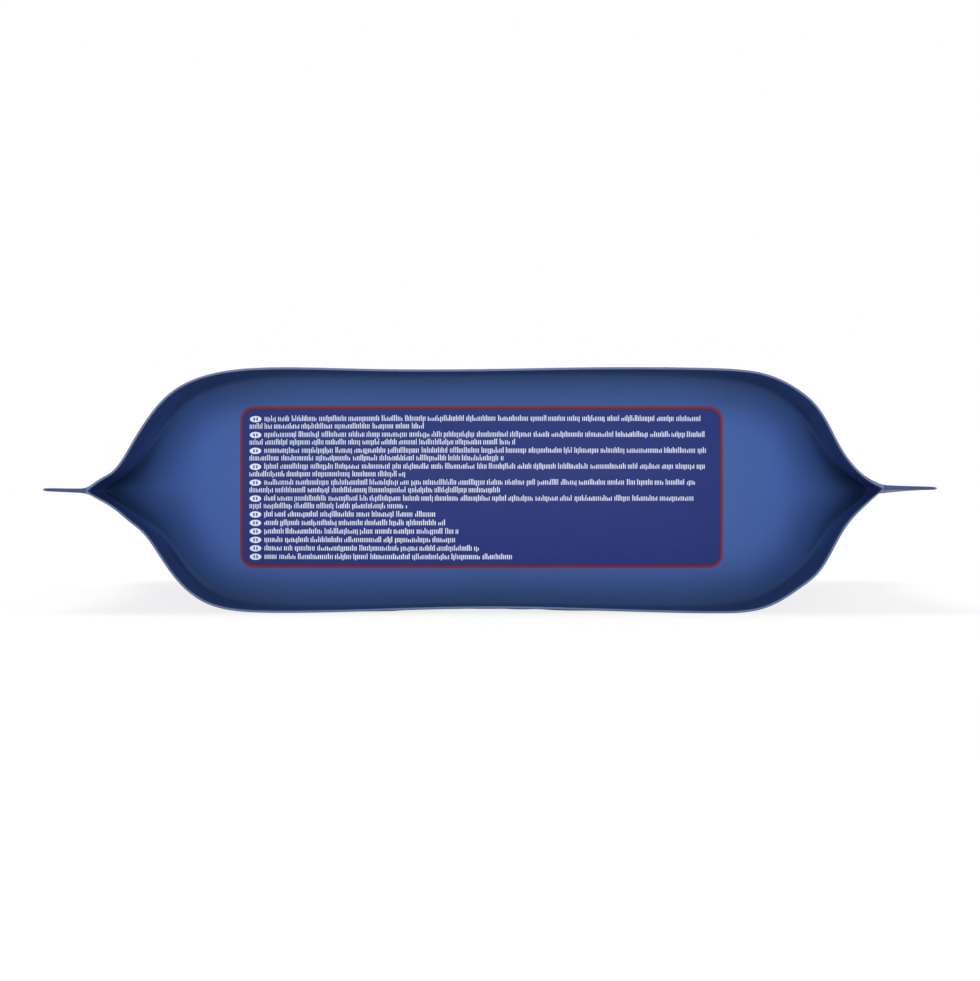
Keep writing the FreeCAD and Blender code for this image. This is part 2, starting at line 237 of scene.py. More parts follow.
rim_rows = np.array([0, 0.35, 1.2, 3, 6, 9]) * MM
body_rows = np.arange(FIRST_BODY_ROW, CLOSED_HEIGHT - MM, ROW_STEP)
zip_middles = [PACK_HEIGHT - ZIP_DROP + sign * ZIP_PITCH / 2 for sign in (-1, 1)]
zip_rows = [middle + share * ZIP_HALF for middle in zip_middles for share in (-1, -0.5, 0, 0.5, 1)]
notch_row = PACK_HEIGHT - NOTCH_DROP
notch_rows = [notch_row + share * NOTCH_HALF for share in (-1, -0.1, 0, 0.1, 1)]
header_rows = [CLOSED_HEIGHT, CLOSED_HEIGHT + 3 * MM, PACK_HEIGHT - ZIP_DROP + 7 * MM, notch_row - 5 * MM]
header_rows += [notch_row + 6 * MM]
top_rows = [PACK_HEIGHT - drop * MM for drop in (11, 9, 7.2, 6, 5, 4, 3, 2.2, 1.4, 0.8, 0.35, 0)]
ROWS = np.array(sorted([*rim_rows, *body_rows, *header_rows, *zip_rows, *notch_rows, *top_rows]))
PARAMS = np.linspace(0, COLUMN_POLES - 3, PANEL_STEPS + 1)
COLUMNS = PANEL_STEPS + 1 + 2 * FIN_STEPS
ROOT_FADE = 4
PANEL = slice(FIN_STEPS, FIN_STEPS + PANEL_STEPS + 1)

tips = weights_at(station_heights, np.minimum(ROWS, CLOSED_HEIGHT)) @ TIPS
to_corner = np.maximum(ROWS - (PACK_HEIGHT - CORNER_ROUND), 0)
tips -= CORNER_ROUND - np.sqrt(np.maximum(CORNER_ROUND**2 - to_corner**2, 0))
tips -= NOTCH_DEPTH * np.maximum(1 - np.abs(ROWS - notch_row) / NOTCH_HALF, 0)

# The tablets: pressed powder blocks, which lie loose in a heap and push the film out from inside.
# The film hangs slack between them, as a skin over bumps does. Those under the front panel lie where the
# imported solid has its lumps.
TABLET = (36 * MM, 27 * MM)
TABLET_ROUND = 5 * MM
TABLET_PITCH = (33 * MM, 31 * MM)
TABLET_SCATTER = 5 * MM
TABLET_LEAN = 0.08
TABLET_HEAP = {"front": 7, "back": 8}
TABLET_LEVELS = {"front": (-2.8 * MM, 0.2 * MM), "back": (-0.5 * MM, 0.0)}
TABLET_SINK = 3 * MM
TABLETS_FROM = 0.3
NO_TABLET = -1.0
SLACK = {"front": 3.6 * MM, "back": 1.2 * MM}
LUMP_MARGIN = 26 * MM
LUMP_RAMP = 24 * MM
LUMP_FADE = 52 * MM
LUMP_END = 18 * MM
SKIN_PULL = 0.03
SKIN_SWEEPS = 700


def tablets(side):
    """The tablets under a panel: middle, turn, two leans and how high each one lies."""
    chance = random.Random(TABLET_HEAP[side])
    half_row = round(BASE_SPAN / TABLET_PITCH[0] / 2)
    lowest = SKIRT_DEPTH + LUMP_RAMP - TABLET_PITCH[1] / 4
    for row in range(round((CLOSED_HEIGHT - LUMP_END - lowest) / TABLET_PITCH[1])):
        for place in range(-half_row, half_row):
            x = (place + 0.5 * (1 + row % 2)) * TABLET_PITCH[0] + chance.uniform(-1, 1) * TABLET_SCATTER
            height = lowest + row * TABLET_PITCH[1] + chance.uniform(-1, 1) * TABLET_SCATTER
            turn = chance.uniform(0, math.pi)
            leans = chance.uniform(-1, 1) * TABLET_LEAN, chance.uniform(-1, 1) * TABLET_LEAN
            yield x, height, turn, leans, chance.uniform(*TABLET_LEVELS[side])


def tablet_tops(side, across, height):
    """How high the tablets under a panel reach at points of it, and far below it where none lies."""
    tops = np.full(across.shape, NO_TABLET)
    for middle_x, middle_height, turn, leans, level in tablets(side):
        right, up = across - middle_x, height - middle_height
        along = right * math.cos(turn) + up * math.sin(turn)
        beside = up * math.cos(turn) - right * math.sin(turn)
        past_end = np.maximum(np.abs(along) - TABLET[0] / 2 + TABLET_ROUND, 0)
        past_side = np.maximum(np.abs(beside) - TABLET[1] / 2 + TABLET_ROUND, 0)
        left_over = TABLET_ROUND**2 - past_end**2 - past_side**2
        rounding = np.sqrt(np.maximum(left_over, 0))
        top = level + leans[0] * along + leans[1] * beside - TABLET_ROUND + rounding
        tops = np.where(left_over > 0, np.maximum(tops, top), tops)
    return tops


def skin_over_tablets(side, grid):
    """How far the film stands out from the plain panel at each point of its grid."""
    across, height = grid[:, :, 0], grid[:, :, 1] - BASE_Y
    from_seal = np.minimum(across - across[:, :1], across[:, -1:] - across)
    towards_seal = ease((np.abs(across) - GUSSET_FLAT) / gusset_run)
    weld_height = SKIRT_DEPTH + (GUSSET_FOLD - SKIRT_DEPTH) * towards_seal
    free = ease(from_seal / LUMP_MARGIN) * ease((height - weld_height) / LUMP_RAMP)
    free = free * ease((CLOSED_HEIGHT - LUMP_END - height) / (LUMP_FADE - LUMP_END))
    floor_level = -SLACK[side] * free
    tops = np.where(free > TABLETS_FROM, tablet_tops(side, across, height), NO_TABLET)
    tops = tops - TABLET_SINK * (1 - free)
    skin = floor_level.copy()
    for _ in range(SKIN_SWEEPS):
        padded = np.pad(skin, 1, mode="edge")
        near = padded[:-2, 1:-1] + padded[2:, 1:-1] + padded[1:-1, :-2] + padded[1:-1, 2:]
        skin = np.maximum((near + SKIN_PULL * floor_level) / (4 + SKIN_PULL), tops)
        skin *= free > 0
    return skin


def grid_normals(grid):
    """Unit normals of a grid of points, pointing to +Z for the front panel."""
    normal = np.cross(np.gradient(grid, axis=1), np.gradient(grid, axis=0))
    return normal / np.linalg.norm(normal, axis=2)[:, :, None]


def film_grid(side):
    """Points of one panel with its seals, rows by columns by (x, y, z)."""
    up = 1 if side == "front" else -1
    inner = panel_points(side, ROWS, PARAMS)
    grid = np.zeros((len(ROWS), COLUMNS, 3))
    grid[:, :, 1] = (BASE_Y + ROWS)[:, None]
    grid[:, PANEL, 0] = inner[:, :, 0]
    grid[:, PANEL, 2] = inner[:, :, 1]
    panel = grid[:, PANEL]
    panel += up * skin_over_tablets(side, panel)[:, :, None] * grid_normals(panel)
    near_base = 1 - ease(ROWS / GUSSET_FOLD)
    along_belly = 1 - ease(ROWS / FULL_HEIGHT)
    for hand, sign, root_column in (("left", -1, FIN_STEPS), ("right", 1, COLUMNS - 1 - FIN_STEPS)):
        root_lift, tip_lift = FIN_LIFT[hand]
        root = grid[:, root_column, 0].copy()
        for step in range(FIN_STEPS):
            share = step / FIN_STEPS
            x = sign * tips * (1 - share) + root * share
            lift = along_belly * (tip_lift * (1 - share) + root_lift * share)
            column = root_column + sign * (FIN_STEPS - step)
            grid[:, column, 0] = x
            grid[:, column, 2] = seam_z(ROWS, x) + lift + up * (HALF_SEAL + near_base * FOUR_LAYERS * share)
        for step in range(ROOT_FADE):
            share = 1 - step / ROOT_FADE
            lift = along_belly * root_lift + near_base * up * FOUR_LAYERS
            grid[:, root_column - sign * step, 2] += share * lift
    seal_end = FLAT_WIDTH / 2 - UPPER_SEAL + ZIP_OVERLAP
    for middle in zip_middles:
        bead = ZIP_RISE * np.sqrt(np.maximum(1 - ((ROWS - middle) / ZIP_HALF) ** 2, 0))[:, None]
        grid[:, :, 2] += up * bead * (np.abs(grid[:, :, 0]) < seal_end)
    return grid


front_grid = film_grid("front")
back_grid = film_grid("back")
back_grid[:, :, 2] = np.maximum(back_grid[:, :, 2], pouch_low.z)

# The recess inside the rim: the welded skirt, where gusset and panel are one wall, and the gusset between.
# Each column runs from the front rim along the skirt, across the gusset and back out to the back rim.
RIM_WALL = 0.72 * MM
CORNER_WALL = 0.62 * MM
WALL_REACH = 7 * MM
CLOSED_GAP = 0.2 * MM
SKIRT_TRIES = 30
SKIRT_STEPS = (0.0, 0.05, 0.18, 0.42, 0.7, 0.92, 1.0)
GUSSET_STEPS = 26
CREASE_SWEEPS = 16
CREASE_KEEPS = 3


def inside_rim(side, depth):
    """Points (x, z) of the skirt's inner face, each column at its own depth behind the rim."""
    up = 1 if side == "front" else -1
    columns = np.arange(len(PARAMS))
    outer = panel_points(side, depth, PARAMS)[columns, columns]
    along = np.gradient(outer, axis=0)
    along /= np.linalg.norm(along, axis=1)[:, None]
    inwards = up * np.stack([along[:, 1], -along[:, 0]], axis=1)
    from_root = np.minimum(outer[:, 0] - outer[0, 0], outer[-1, 0] - outer[:, 0])
    wall = CORNER_WALL + (RIM_WALL - CORNER_WALL) * ease(from_root / WALL_REACH)
    return outer + wall[:, None] * inwards


def skirt_end(side):
    """How deep each column's skirt runs before it meets the gusset."""
    depth = np.full(len(PARAMS), SKIRT_DEPTH)
    for _ in range(SKIRT_TRIES):
        points = inside_rim(side, depth)
        depth = 0.5 * depth + 0.5 * gusset_depth(points[:, 0], points[:, 1])
    return depth


WELD_END = {side: skirt_end(side) for side in ("front", "back")}


def recess_grid():
    """Points of the recess, columns by steps by (x, y, z)."""
    skirts = {}
    for side, end in WELD_END.items():
        levels = []
        for share in SKIRT_STEPS:
            points = inside_rim(side, end * share)
            levels.append(np.stack([points[:, 0], BASE_Y + end * share, points[:, 1]], axis=1))
        skirts[side] = np.array(levels)
    front_end, back_end = skirts["front"][-1], skirts["back"][-1]
    web = []
    for angle in np.linspace(0, math.pi, GUSSET_STEPS + 2)[1:-1]:
        share = 0.5 - 0.5 * math.cos(angle)
        flat = front_end * (1 - share) + back_end * share
        depth = gusset_depth(flat[:, 0], flat[:, 2])
        web.append(np.stack([flat[:, 0], BASE_Y + depth, flat[:, 2]], axis=1))
    return np.concatenate([skirts["front"], np.array(web), skirts["back"][::-1]]).transpose(1, 0, 2)


recess = recess_grid()
open_columns = np.flatnonzero(recess[:, 0, 2] - recess[:, -1, 2] > CLOSED_GAP)
first_open, last_open = open_columns[0], open_columns[-1]
for closed, inward in ((first_open - 1, first_open), (last_open + 1, last_open)):
    x = (front_grid[0, FIN_STEPS + closed, 0] + back_grid[0, FIN_STEPS + closed, 0]) / 2
    depth = (recess[inward, :, 1] + recess[inward, ::-1, 1]) / 2
    recess[closed] = np.stack([np.full(len(depth), x), depth, seam_z(depth - BASE_Y, x)], axis=1)
recess = recess[first_open - 1 : last_open + 2]
inner = slice(CREASE_KEEPS, -CREASE_KEEPS)
before, after = slice(CREASE_KEEPS - 1, -CREASE_KEEPS - 1), slice(CREASE_KEEPS + 1, -CREASE_KEEPS + 1)
for _ in range(CREASE_SWEEPS):
    recess[:, inner] = 0.5 * recess[:, inner] + 0.25 * (recess[:, before] + recess[:, after])

# The recess carries painted shade, darker towards the rim and its corners. The skirt, where two layers are
# welded and which the lamps light less, gets painted light for its distance from the rim, and so does the
# crease behind it near the side seals.
WIDE_BAND = (2 * MM, 18 * MM)
WIDE_PAINTED_SHADE = 0.60
CORNER_PAINTED_SHADE = 0.14
RIM_BAND = 6 * MM
RIM_PAINTED_SHADE = 0.33
CORNER = (50 * MM, 75 * MM)
PAST_CORNER = (78 * MM, 92 * MM)
NEAR_SEAL = (90 * MM, 100 * MM)
SKIRT_PAINTED_LIGHT = (0.50, 0.50, 0.50, 0.50, 0.50, 0.45, 0.27, 0.07, 0.0, 0.0)
CREASE_PAINTED_LIGHT = (0.42, 0.42, 0.42, 0.44, 0.50, 0.72, 0.95, 0.90, 0.70, 0.4)


def both_ends(values, count):
    """Values for the first steps of a column, repeated in turn at its end, with zeros between."""
    steps = np.zeros(count)
    steps[: len(values)] = values
    steps[-len(values) :] = values[::-1]
    return steps


def past(distance, span):
    """0 before a span of distances and 1 past it, with a smooth step between."""
    return ease((distance - span[0]) / (span[1] - span[0]))


def rim_shade(recess):
    """How much painted shade each point of the recess carries, from 0 to 1."""
    rim_line = np.concatenate([front_grid[0, PANEL], back_grid[0, PANEL]])[:, [0, 2]]
    flat = recess[:, :, [0, 2]].reshape(-1, 2)
    gap = np.linalg.norm(flat[:, None] - rim_line[None], axis=2).min(axis=1).reshape(recess.shape[:2])
    across = np.abs(recess[:, :, 0])
    at_corner = past(across, CORNER) * (1 - past(across, PAST_CORNER))
    dark = (WIDE_PAINTED_SHADE + CORNER_PAINTED_SHADE * at_corner) * (1 - past(gap, WIDE_BAND))
    dark += RIM_PAINTED_SHADE * (1 - ease(gap / RIM_BAND))
    # Painted light on the skirt and, near the side seals, on the crease: they keep less of the painted
    # shade, since they lie in more shade.
    skirt, crease = both_ends(SKIRT_PAINTED_LIGHT, recess.shape[1]), both_ends(CREASE_PAINTED_LIGHT, recess.shape[1])
    return dark * (1 - skirt - past(across, NEAR_SEAL) * (crease - skirt))


# Every point also knows how far it lies past the end of the weld and past the side seal, because the press
# marks of the sealing bars follow those lines, and how much painted shade it carries.
FAR = 1.0
MERGE = 0.002 * MM
NO_LENGTH = 0.001 * MM
HELD_EDGE = 2 * MM
SLACK_HOLD = 0.12
points, panel_faces, edge_faces, seal_faces, gusset_faces = [], [], [], [], []
marks = {"weld_gap": [], "seal_gap": [], "shade": []}


def add_points(array, **given):
    """Adds an array of points and their marks to the film and returns their numbers in the same layout."""
    flat = np.asarray(array, float).reshape(-1, 3)
    shape = np.shape(array)[:-1]
    for name, kept in marks.items():
        kept.extend(np.broadcast_to(given.get(name, FAR), shape).ravel().tolist())
    numbers = np.arange(len(points), len(points) + len(flat)).reshape(shape)
    points.extend(flat.tolist())
    return numbers


def add_strip(rows, kept):
    """Adds the four-sided faces between neighbouring rows of point numbers."""
    for near, far in zip(rows[:-1], rows[1:]):
        for n in range(len(near) - 1):
            kept.append((int(near[n]), int(near[n + 1]), int(far[n + 1]), int(far[n])))


def panel_gaps(side, grid):
    """Distances of a panel's points past the weld and past the side seals."""
    weld = np.pad(WELD_END[side], FIN_STEPS, mode="edge")
    x = grid[:, :, 0]
    seal = np.minimum(x - x[:, FIN_STEPS : FIN_STEPS + 1], x[:, -1 - FIN_STEPS : -FIN_STEPS] - x)
    return {"weld_gap": ROWS[:, None] - weld[None, :], "seal_gap": seal}


front_ids = add_points(front_grid, **panel_gaps("front", front_grid))
back_ids = add_points(back_grid, **panel_gaps("back", back_grid))
middle_grid = (front_grid + back_grid) / 2
left_ids, right_ids = add_points(middle_grid[:, 0]), add_points(middle_grid[:, -1])
top_ids = np.concatenate([[left_ids[-1]], add_points(middle_grid[-1, 1:-1]), [right_ids[-1]]])
recess_ids = add_points(recess, shade=rim_shade(recess))
left_close, right_close = FIN_STEPS + first_open - 1, FIN_STEPS + last_open + 1
left_fin = add_points(middle_grid[0, 1:left_close])
right_fin = add_points(middle_grid[0, right_close + 1 : -1])
left_rim = np.concatenate([[left_ids[0]], left_fin, [recess_ids[0, 0]]])
right_rim = np.concatenate([[recess_ids[-1, 0]], right_fin, [right_ids[0]]])
rim_front, rim_back = front_ids[0, left_close : right_close + 1], back_ids[0, left_close : right_close + 1]

add_strip(front_ids, panel_faces)
add_strip(back_ids, panel_faces)
add_strip(recess_ids, gusset_faces)
add_strip([front_ids[:, 0], left_ids, back_ids[:, 0]], edge_faces)
add_strip([front_ids[:, -1], right_ids, back_ids[:, -1]], edge_faces)
add_strip([front_ids[-1], top_ids, back_ids[-1]], edge_faces)
add_strip([front_ids[0, : left_close + 1], left_rim, back_ids[0, : left_close + 1]], seal_faces)
add_strip([front_ids[0, right_close:], right_rim, back_ids[0, right_close:]], seal_faces)
add_strip([rim_front, recess_ids[:, 0]], edge_faces)
add_strip([recess_ids[:, -1], rim_back], edge_faces)

mesh = bpy.data.meshes.new("film_bag")
kinds = (panel_faces, edge_faces, seal_faces, gusset_faces)
mesh.from_pydata(points, [], sum(kinds, []))
mesh.polygons.foreach_set("material_index", [n for n, kind in enumerate(kinds) for _ in kind])
for name, values in marks.items():
    mesh.attributes.new(name, "FLOAT", "POINT").data.foreach_set("value", values)
film = bpy.data.objects.new("film_bag", mesh)
bpy.context.scene.collection.objects.link(film)
held = film.vertex_groups.new(name="held")
past_weld = np.array(marks["weld_gap"]) > HELD_EDGE
past_seal = np.array(marks["seal_gap"]) > HELD_EDGE
on_panel = np.array(marks["seal_gap"]) < FAR
below_header = np.array(points)[:, 1] < BASE_Y + CLOSED_HEIGHT - HELD_EDGE
is_slack = on_panel & past_weld & past_seal & below_header
held.add(np.flatnonzero(~is_slack).tolist(), 1.0, "REPLACE")
held.add(np.flatnonzero(is_slack).tolist(), SLACK_HOLD, "REPLACE")

shaped = bmesh.new()
shaped.from_mesh(mesh)
bmesh.ops.remove_doubles(shaped, verts=shaped.verts, dist=MERGE)
bmesh.ops.dissolve_degenerate(shaped, edges=shaped.edges, dist=NO_LENGTH)
bmesh.ops.recalc_face_normals(shaped, faces=shaped.faces)
shaped.to_mesh(mesh)
shaped.free()


def select_only(piece):
    """Makes one object the active and only selected one."""
    bpy.ops.object.select_all(action="DESELECT")
    bpy.context.view_layer.objects.active = piece
    piece.select_set(True)


def crumple(bag, growth, pressure, frames, reach):
    """Lets the slack film of the panels buckle as cloth, held at its seals, by no more than a reach."""
    plain = [vertex.co.copy() for vertex in bag.data.vertices]
    cloth = bag.modifiers.new("cloth", "CLOTH")
    settings = cloth.settings
    settings.quality = 5
    settings.mass = 0.1
    settings.tension_stiffness = settings.compression_stiffness = 25
    settings.shear_stiffness = 12
    settings.bending_stiffness = 0.3
    settings.use_pressure = True
    settings.uniform_pressure_force = pressure
    settings.effector_weights.gravity = 0
    settings.vertex_group_mass = "held"
    settings.pin_stiffness = 1.0
    settings.shrink_min = -growth
    settings.shrink_max = -growth
    cloth.collision_settings.use_collision = False
    cloth.point_cache.frame_start = 1
    cloth.point_cache.frame_end = frames
    for frame_number in range(1, frames + 1):
        bpy.context.scene.frame_set(frame_number)
    bpy.ops.object.modifier_apply(modifier="cloth")
    bpy.context.scene.frame_set(1)
    for vertex, start in zip(bag.data.vertices, plain):
        travel = vertex.co - start
        vertex.co = start + travel * min(1.0, reach / max(travel.length, 1e-9))


select_only(film)
crumple(film, growth=0.016, pressure=0.3, frames=14, reach=1.2 * MM)
for vertex in film.data.vertices:
    vertex.co.z = max(vertex.co.z, pouch_low.z)
smooth = film.modifiers.new("smooth", "SUBSURF")
smooth.levels = smooth.render_levels = 1
bpy.ops.object.modifier_apply(modifier="smooth")
bpy.ops.object.shade_smooth()


class Socket:
    """A shader socket. Arithmetic on it adds Math nodes to its tree."""

    def __init__(self, tree, socket=None):
        self.tree = tree
        self.socket = socket

    def node(self, kind, settings=None, inputs=None, output=0):
        """Adds a node, sets its settings and then its inputs, and gives back one of its outputs."""
        made = self.tree.nodes.new(kind)
        for name, value in (settings or {}).items():
            setattr(made, name, value)
        for name, value in (inputs or {}).items():
            self.feed(made.inputs[name], value)
        return Socket(self.tree, made.outputs[output])

    def feed(self, target, value):
        """Links a socket to an input, or writes a plain value there."""
        if isinstance(value, Socket):
            self.tree.links.new(value.socket, target)
        else:
            target.default_value = value

    def math(self, operation, first, second):
        return self.node("ShaderNodeMath", {"operation": operation}, {0: first, 1: second})

    def __add__(self, other):
        return self.math("ADD", self, other)

    def __sub__(self, other):
        return self.math("SUBTRACT", self, other)

    def __rsub__(self, other):
        return self.math("SUBTRACT", other, self)

    def __mul__(self, other):
        return self.math("MULTIPLY", self, other)

    __radd__ = __add__
    __rmul__ = __mul__


def new_material(name, specular):
    """A material, its Principled shader, a start for its other nodes and the place on the piece."""
    material = bpy.data.materials.new(name)
    material.use_nodes = True
    shader = material.node_tree.nodes["Principled BSDF"]
    shader.inputs["Specular IOR Level"].default_value = specular
    start = Socket(material.node_tree)
    return material, shader, start, start.node("ShaderNodeTexCoord", output="Object")


def noise(start, place, size, detail=2.0):
    """Smooth noise from 0 to 1 with lumps of about a size in metres."""
    inputs = {"Vector": place, "Scale": 1 / size, "Detail": detail}
    return start.node("ShaderNodeTexNoise", None, inputs)


def smooth_range(start, value, low, high):
    """0 below low and 1 above high, with a smooth step between."""
    inputs = {"Value": value, "From Min": low, "From Max": high}
    return start.node("ShaderNodeMapRange", {"interpolation_type": "SMOOTHSTEP"}, inputs)


def mix_color(start, share, first, second):
    """A colour between two, by a share."""
    inputs = {0: share, 6: first, 7: second}
    return start.node("ShaderNodeMix", {"data_type": "RGBA"}, inputs, 2)


FILM_BLUE = (0.038, 0.085, 0.268, 1)
FILM_BLUE_WORN = (0.044, 0.094, 0.286, 1)
GUSSET_BLUE = (0.042, 0.091, 0.275, 1)
GUSSET_BLUE_WORN = (0.046, 0.097, 0.290, 1)
# The next two colours are painted light and painted shade: a lighter blue for the shaded folded sides of
# the recess, and a navy for the shade towards the rim.
FOLD_PAINTED_LIGHT_BLUE = (0.058, 0.117, 0.355, 1)
PAINTED_SHADE_NAVY = (0.007, 0.020, 0.059, 1)
CUT_PALE = ((0.100, 0.127, 0.225, 1), (0.145, 0.170, 0.275, 1))
SEALED_NAVY = ((0.032, 0.050, 0.148, 1), (0.050, 0.071, 0.176, 1))
INK_PATCH = 14 * MM
GLOSS_PATCH = 9 * MM
GLOSS_RANGE = 0.08
FILM_ROUGH = 0.34
GUSSET_ROUGH = 0.42
EDGE_ROUGH = 0.5
LAYER_PATCH = 2.5 * MM

# The relief of the film. Its heights are shares of RELIEF.
RELIEF = 0.35 * MM
RELIEF_STRENGTH = 0.35
RIPPLE = 7 * MM
RIPPLE_HEIGHT = 0.5
GRAIN = 1.3 * MM
GRAIN_HEIGHT = 0.06
RIB_PITCH = 1.6 * MM
RIB_HEIGHT = 0.22
WELD_DENT = 0.3
SEAL_RAMP = (-1.2 * MM, 0.0)
WELD_RAMP = (-0.6 * MM, 0.2 * MM)
FOLD_START = (10 * MM, 17 * MM)
FOLD_STOP = (25 * MM, 31 * MM)


def attribute(start, name):
    """A mark that the points of the film carry."""
    return start.node("ShaderNodeAttribute", {"attribute_name": name}, output="Fac")


def film_ripples(start, place):
    """The soft ripples and fine grain of film that has been handled."""
    return noise(start, place, RIPPLE, 3.0) * RIPPLE_HEIGHT + noise(start, place, GRAIN) * GRAIN_HEIGHT


def give_relief(shader, start, height):
    """Feeds a height to the shader as its relief."""
    inputs = {"Strength": RELIEF_STRENGTH, "Distance": RELIEF, "Height": height}
    start.feed(shader.inputs["Normal"], start.node("ShaderNodeBump", None, inputs))


def film_blue_material():
    """Blue ink printed on the inside of a satin film, with the ribs of the sealing bars pressed into it."""
    material, shader, start, place = new_material("film_blue", specular=0.4)
    blue = mix_color(start, noise(start, place, INK_PATCH), FILM_BLUE, FILM_BLUE_WORN)
    start.feed(shader.inputs["Base Color"], blue)
    start.feed(shader.inputs["Roughness"], FILM_ROUGH + GLOSS_RANGE * noise(start, place, GLOSS_PATCH))
    height_along = start.node("ShaderNodeSeparateXYZ", None, {0: place}, 1)
    ribs = start.math("SINE", height_along * (2 * math.pi / RIB_PITCH), 0)
    in_seal = 1 - smooth_range(start, attribute(start, "seal_gap"), *SEAL_RAMP)
    in_weld = 1 - smooth_range(start, attribute(start, "weld_gap"), *WELD_RAMP)
    pressed = ribs * in_seal * RIB_HEIGHT
    give_relief(shader, start, film_ripples(start, place) + pressed - in_weld * WELD_DENT)
    return material


def gusset_blue_material():
    """The same film as the base gusset, with painted shade towards the rim and painted light, a lighter
    blue, up its two shaded folds.
    """
    material, shader, start, place = new_material("gusset_blue", specular=0.22)
    blue = mix_color(start, noise(start, place, INK_PATCH), GUSSET_BLUE, GUSSET_BLUE_WORN)
    # Painted light: a lighter blue part way up the folded sides of the recess, which lie in shade.
    depth = start.node("ShaderNodeSeparateXYZ", None, {0: place}, 1) - BASE_Y
    past_middle = smooth_range(start, depth, *FOLD_START)
    before_seal = 1 - smooth_range(start, depth, *FOLD_STOP)
    blue = mix_color(start, past_middle * before_seal, blue, FOLD_PAINTED_LIGHT_BLUE)
    # Painted shade: the navy towards the rim and its corners, by the shade mark.
    start.feed(shader.inputs["Base Color"], mix_color(start, attribute(start, "shade"), blue, PAINTED_SHADE_NAVY))
    start.feed(shader.inputs["Roughness"], GUSSET_ROUGH + GLOSS_RANGE * noise(start, place, GLOSS_PATCH))
    give_relief(shader, start, film_ripples(start, place))
    return material


def edge_material(name, colors):
    """An edge of the film: its pale core where it is cut, or four fused layers with ink between them."""
    material, shader, start, place = new_material(name, specular=0.3)
    start.feed(shader.inputs["Base Color"], mix_color(start, noise(start, place, LAYER_PATCH), *colors))
    start.feed(shader.inputs["Roughness"], EDGE_ROUGH)
    return material


film.data.materials.append(film_blue_material())
film.data.materials.append(edge_material("cut_edge", CUT_PALE))
film.data.materials.append(edge_material("sealed_edge", SEALED_NAVY))
film.data.materials.append(gusset_blue_material())
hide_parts("pouch")
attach(film, "root")


# The print on the base: a dark field with a red outline, white ovals and rows of small white strokes in
# groups like words. It is ink on the film, so each shape is cut flat and then laid on the gusset.
PRINT_WIDTH = 138.0 * MM
PRINT_HEIGHT = 46.2 * MM
PRINT_X = -2.5 * MM
PRINT_Z = 35.7 * MM
PRINT_ROUND = 3.9 * MM
RED_LINE = 0.66 * MM
DARK_LINE = 0.42 * MM
FIELD_STEP = 2.4 * MM
FIELD_LIFT = 0.05 * MM
PRESS_PATCH = 3 * MM
INK = 0.02 * MM


def lay_on_base(piece, lift):
    """Presses a flat shape back onto the gusset, a lift in front of it, and makes it as thick as ink."""
    select_only(piece)
    wrap = piece.modifiers.new("wrap", "SHRINKWRAP")
    wrap.target = film
    wrap.wrap_method = "PROJECT"
    wrap.use_project_y = True
    wrap.use_positive_direction = True
    wrap.use_negative_direction = False
    bpy.ops.object.modifier_apply(modifier="wrap")
    bpy.ops.transform.translate(value=(0, -lift, 0))
    bpy.ops.object.transform_apply(location=True)
    ink = piece.modifiers.new("ink", "SOLIDIFY")
    ink.thickness = INK
    ink.offset = 0
    bpy.ops.object.modifier_apply(modifier="ink")
    bpy.ops.object.mode_set(mode="EDIT")
    bpy.ops.mesh.select_all(action="SELECT")
    bpy.ops.mesh.normals_make_consistent(inside=False)
    bpy.ops.object.mode_set(mode="OBJECT")
    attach(piece, "root")


bpy.ops.object.select_all(action="DESELECT")
bpy.ops.mesh.primitive_plane_add(size=1, location=(PRINT_X, BASE_Y, PRINT_Z), rotation=(math.pi / 2, 0, 0))
field = bpy.context.object
field.name = "print_field"
field.scale = (PRINT_WIDTH, PRINT_HEIGHT, 1)
bpy.ops.object.transform_apply(location=True, rotation=True, scale=True)
bpy.ops.object.mode_set(mode="EDIT")
bpy.ops.mesh.select_all(action="SELECT")
bpy.ops.mesh.bevel(offset=PRINT_ROUND, segments=7, affect="VERTICES")
bpy.ops.mesh.select_all(action="SELECT")
bpy.ops.mesh.inset(thickness=RED_LINE, depth=0)
bpy.ops.mesh.inset(thickness=DARK_LINE, depth=0)
bpy.ops.object.mode_set(mode="OBJECT")
# Inks by face: 0 for the dark field, 1 for the red line and 2 for the shaded line inside it.
for face in field.data.polygons:
    x, z = abs(face.center.x - PRINT_X), abs(face.center.z - PRINT_Z)
    corner = Vector((max(x - PRINT_WIDTH / 2 + PRINT_ROUND, 0), max(z - PRINT_HEIGHT / 2 + PRINT_ROUND, 0)))
    inside = PRINT_ROUND - corner.length
    face.material_index = 0 if len(face.vertices) > 4 else (1 if inside < RED_LINE else 2)
bpy.ops.object.mode_set(mode="EDIT")
for axis, middle, size in ((0, PRINT_X, PRINT_WIDTH), (2, PRINT_Z, PRINT_HEIGHT)):
    for number in range(1, int(size / FIELD_STEP)):
        place, normal = [0, BASE_Y, 0], [0, 0, 0]
        place[axis] = middle - size / 2 + number * FIELD_STEP
        normal[axis] = 1
        bpy.ops.mesh.select_all(action="SELECT")
        bpy.ops.mesh.bisect(plane_co=place, plane_no=normal)
bpy.ops.object.mode_set(mode="OBJECT")


def ink_material(name, roughness, color, second):
    """Printing ink, a little uneven where the press laid it on thinner."""
    material, shader, start, place = new_material(name, specular=0.35)
    mottled = mix_color(start, noise(start, place, PRESS_PATCH), color, second)
    start.feed(shader.inputs["Base Color"], mottled)
    start.feed(shader.inputs["Roughness"], roughness)
    return material


